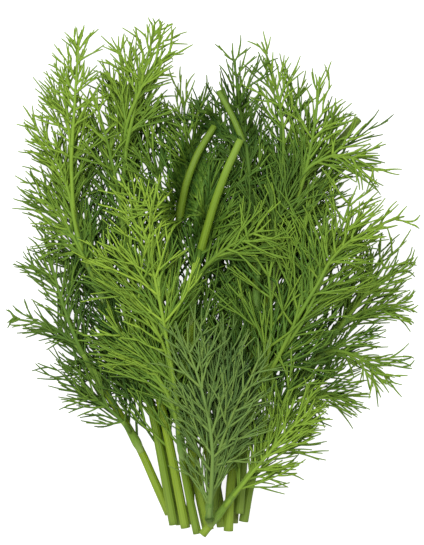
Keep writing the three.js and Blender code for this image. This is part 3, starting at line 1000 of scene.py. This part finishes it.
def cut_material(pale):
    """A cut end: green skin and fibres round a whitish pith."""
    material, tree, shader = new_material("Cut End", roughness=0.6, specular=0.3)
    place, _, along = bake_coordinates(tree)
    fibre, height = place_grain(tree, place, 40, 120)
    inner = new_tree_node(tree, "ShaderNodeMapRange")
    set_sockets(inner, {"From Min": 0.925, "From Max": 0.96})
    tree.links.new(along, inner.inputs["Value"])
    dark = scaled_colour(pale, 0.62, 0.8, 0.5)
    light = scaled_colour(pale, 0.95, 1.05, 0.85)
    tissue = mix_colours(tree, fibre, dark, light)
    whole = mix_colours(tree, inner.outputs["Result"], tissue, scaled_colour(pale, 1.35, 1.2, 1.7))
    tree.links.new(whole, shader.inputs["Base Color"])
    add_bump(tree, shader, height, 0.1 * MM)
    return material


def sheath_material(name, colour, pale):
    """A leaf base: green and ribbed down the middle, with pale papery margins."""
    material, tree, shader = new_material(name, roughness=0.55, specular=0.2)
    place, across, along = bake_coordinates(tree)
    rib, height = place_grain(tree, place, 50, 5)
    edge = math_node(tree, "SUBTRACT", math_node(tree, "MULTIPLY", across, 4.0), 1.0)
    margin = math_node(tree, "POWER", math_node(tree, "ABSOLUTE", edge), 3.0, clamp=True)
    foot = math_node(tree, "SUBTRACT", 1.0, math_node(tree, "MULTIPLY", along, 2.5), clamp=True)
    joint = math_node(tree, "MULTIPLY", math_node(tree, "ADD", margin, foot), 0.4, clamp=True)
    colour = (colour[0] * 0.85, colour[1] * 0.95, UPPER_BLUE)
    dark = scaled_colour(colour, 0.8, 0.85, 0.7)
    light = scaled_colour(colour, 1.3, 1.2, 1.3)
    body = mix_colours(tree, rib, dark, light)
    tree.links.new(mix_colours(tree, joint, body, pale), shader.inputs["Base Color"])
    add_bump(tree, shader, height, 0.12 * MM)
    return material


def floor_material(colour, glow):
    """A plain matt floor, lifted towards white where the camera sees it."""
    material, tree, shader = new_material("Floor White", roughness=0.9, specular=0.1)
    set_sockets(shader, {"Base Color": (*colour, 1), "Emission Color": (1, 1, 1, 1)})
    light_path = new_tree_node(tree, "ShaderNodeLightPath")
    seen = math_node(tree, "MULTIPLY", light_path.outputs["Is Camera Ray"], glow)
    tree.links.new(seen, shader.inputs["Emission Strength"])
    return material


# ---- Pieces -----------------------------------------------------------------------------------


def slot_colours(settings, slots):
    """The colour of each slot, from the setting that its first word names."""
    return {slot: getattr(settings, f"{slot.split('_')[0]}_colour") for slot in slots}


def tidy_name(name):
    return name.replace("_", " ").title()


class DILL_OT_add_stalks(bpy.types.Operator):
    """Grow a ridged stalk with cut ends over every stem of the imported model"""

    bl_idname = "dill.add_stalks"
    bl_label = "Add Stalks"

    def execute(self, context):
        settings = context.scene.dill_stalks
        skins = {
            slot: stalk_material(tidy_name(slot), colour, settings.pale_colour)
            for slot, colour in slot_colours(settings, STEM_SLOTS).items()
        }
        cut = cut_material(settings.pale_colour)
        for stem in STEMS:
            line, radius = stalk_middle(stem)
            mesh = grow_stalk(line, radius, stem in CUT_TOPS, settings).mesh(stem)
            slot = SLOT_OF[stem]
            add_piece(f"{sprig_of(stem)}_stalk", mesh, [skins[slot], cut], stem)
        return {"FINISHED"}


class DILL_OT_add_sheaths(bpy.types.Operator):
    """Grow the clasping leaf base of every frond round its stalk"""

    bl_idname = "dill.add_sheaths"
    bl_label = "Add Sheaths"

    def execute(self, context):
        settings = context.scene.dill_stalks
        rib_radius = context.scene.dill_fronds.rachis_radius
        skins = {
            slot: sheath_material(f"Sheath {tidy_name(slot)}", colour, settings.pale_colour)
            for slot, colour in slot_colours(settings, STEM_SLOTS).items()
        }
        for stem in STEMS:
            line, radius = stalk_middle(stem)
            builder = MeshBuilder()
            for frond in FRONDS:
                if sprig_of(frond) == sprig_of(stem):
                    rachis = footed_midrib(frond, read_frond(frond)[0], rib_radius)
                    rachis = smoothed(rachis, MIDRIB_BEND)
                    grow_sheath(builder, line, radius, rachis, rib_radius, settings)
            slot = SLOT_OF[stem]
            mesh = builder.mesh(f"{stem}_sheaths")
            add_piece(f"{sprig_of(stem)}_sheaths", mesh, [skins[slot]])
        return {"FINISHED"}


class DILL_OT_add_fronds(bpy.types.Operator):
    """Grow the threads of every frond along its midrib and side branches"""

    bl_idname = "dill.add_fronds"
    bl_label = "Add Fronds"

    def execute(self, context):
        settings = context.scene.dill_fronds
        tissues = {
            slot: leaf_material(tidy_name(slot), colour)
            for slot, colour in slot_colours(settings, LEAF_SLOTS).items()
        }
        for number, frond in enumerate(FRONDS):
            rods = grow_frond(frond, np.random.default_rng(FROND_SEED + number), settings)
            slot = SLOT_OF[frond]
            add_piece(f"{frond}_threads", rods.mesh(frond), [tissues[slot]], frond)
        for number, stem in enumerate(STEMS):
            line, radius = read_stem(stem)
            slot = "green_leaf" if number % 3 else "dark_leaf"
            start = settings.leaflet_start * LEAFLET_STARTS.get(stem, 1)
            rng = np.random.default_rng(LEAFLET_SEED + number)
            rods = grow_leaflets(line, radius.mean(), rng, settings, start)
            if rods.kinds:
                mesh = rods.mesh(f"{stem}_leaflets")
                add_piece(f"{sprig_of(stem)}_leaflets", mesh, [tissues[slot]])
        return {"FINISHED"}


class DILL_OT_add_stage(bpy.types.Operator):
    """Add the white floor, the overhead camera and the soft light"""

    bl_idname = "dill.add_stage"
    bl_label = "Add Stage"

    def execute(self, context):
        settings = context.scene.dill_stage
        scene = context.scene
        low, high = (Vector(corner) for corner in CAD_BOX)
        centre = (low + high) / 2

        mesh = bpy.data.meshes.new("floor")
        half = FLOOR_WIDTH / 2
        corners = [(-half, -half, 0), (half, -half, 0), (half, half, 0), (-half, half, 0)]
        mesh.from_pydata(corners, [], [(0, 1, 2, 3)])
        mesh.materials.append(floor_material(settings.floor_colour, settings.floor_glow))
        floor = bpy.data.objects.new("floor", mesh)
        scene.collection.objects.link(floor)

        lamp = bpy.data.lights.new("key", "AREA")
        lamp.shape = "DISK"
        lamp.size = KEY_WIDTH
        lamp.energy = settings.key_power
        key = bpy.data.objects.new("key", lamp)
        key.location = centre + KEY_OFFSET
        key.rotation_euler = (centre - key.location).to_track_quat("-Z", "Y").to_euler()
        scene.collection.objects.link(key)

        world = bpy.data.worlds.new("Sky")
        world.use_nodes = True
        background = world.node_tree.nodes["Background"]
        set_sockets(background, {"Color": (1, 1, 1, 1), "Strength": settings.sky_strength})
        scene.world = world

        camera_data = bpy.data.cameras.new("camera")
        camera_data.lens = settings.lens
        camera_data.sensor_width = SENSOR_WIDTH
        camera = bpy.data.objects.new("camera", camera_data)
        length = (high.y - low.y) / settings.fill
        distance = settings.lens / SENSOR_WIDTH * length
        camera.location = (centre.x, centre.y + settings.rise, centre.z + distance)
        scene.collection.objects.link(camera)
        scene.camera = camera
        scene.view_settings.view_transform = "Standard"
        return {"FINISHED"}


class DILL_PT_bunch(bpy.types.Panel):
    bl_label = "Dill Bunch"
    bl_idname = "DILL_PT_bunch"
    bl_space_type = "VIEW_3D"
    bl_region_type = "UI"
    bl_category = "Dill"

    def draw(self, context):
        scene = context.scene
        for title, settings, operator in (
            ("Stalks", scene.dill_stalks, "dill.add_stalks"),
            ("Sheaths", None, "dill.add_sheaths"),
            ("Fronds", scene.dill_fronds, "dill.add_fronds"),
            ("Stage", scene.dill_stage, "dill.add_stage"),
        ):
            box = self.layout.box()
            box.label(text=title)
            if settings:
                for name in settings.__annotations__:
                    box.prop(settings, name)
            box.operator(operator)


CLASSES = (
    DillStalkSettings,
    DillFrondSettings,
    DillStageSettings,
    DILL_OT_add_stalks,
    DILL_OT_add_sheaths,
    DILL_OT_add_fronds,
    DILL_OT_add_stage,
    DILL_PT_bunch,
)


def register():
    for cls in CLASSES:
        bpy.utils.register_class(cls)
    bpy.types.Scene.dill_stalks = PointerProperty(type=DillStalkSettings)
    bpy.types.Scene.dill_fronds = PointerProperty(type=DillFrondSettings)
    bpy.types.Scene.dill_stage = PointerProperty(type=DillStageSettings)


def unregister():
    del bpy.types.Scene.dill_stage
    del bpy.types.Scene.dill_fronds
    del bpy.types.Scene.dill_stalks
    for cls in reversed(CLASSES):
        bpy.utils.unregister_class(cls)


def main():
    register()
    bpy.ops.dill.add_stalks()
    bpy.ops.dill.add_sheaths()
    bpy.ops.dill.add_fronds()
    bpy.ops.dill.add_stage()


if __name__ == "__main__":
    main()
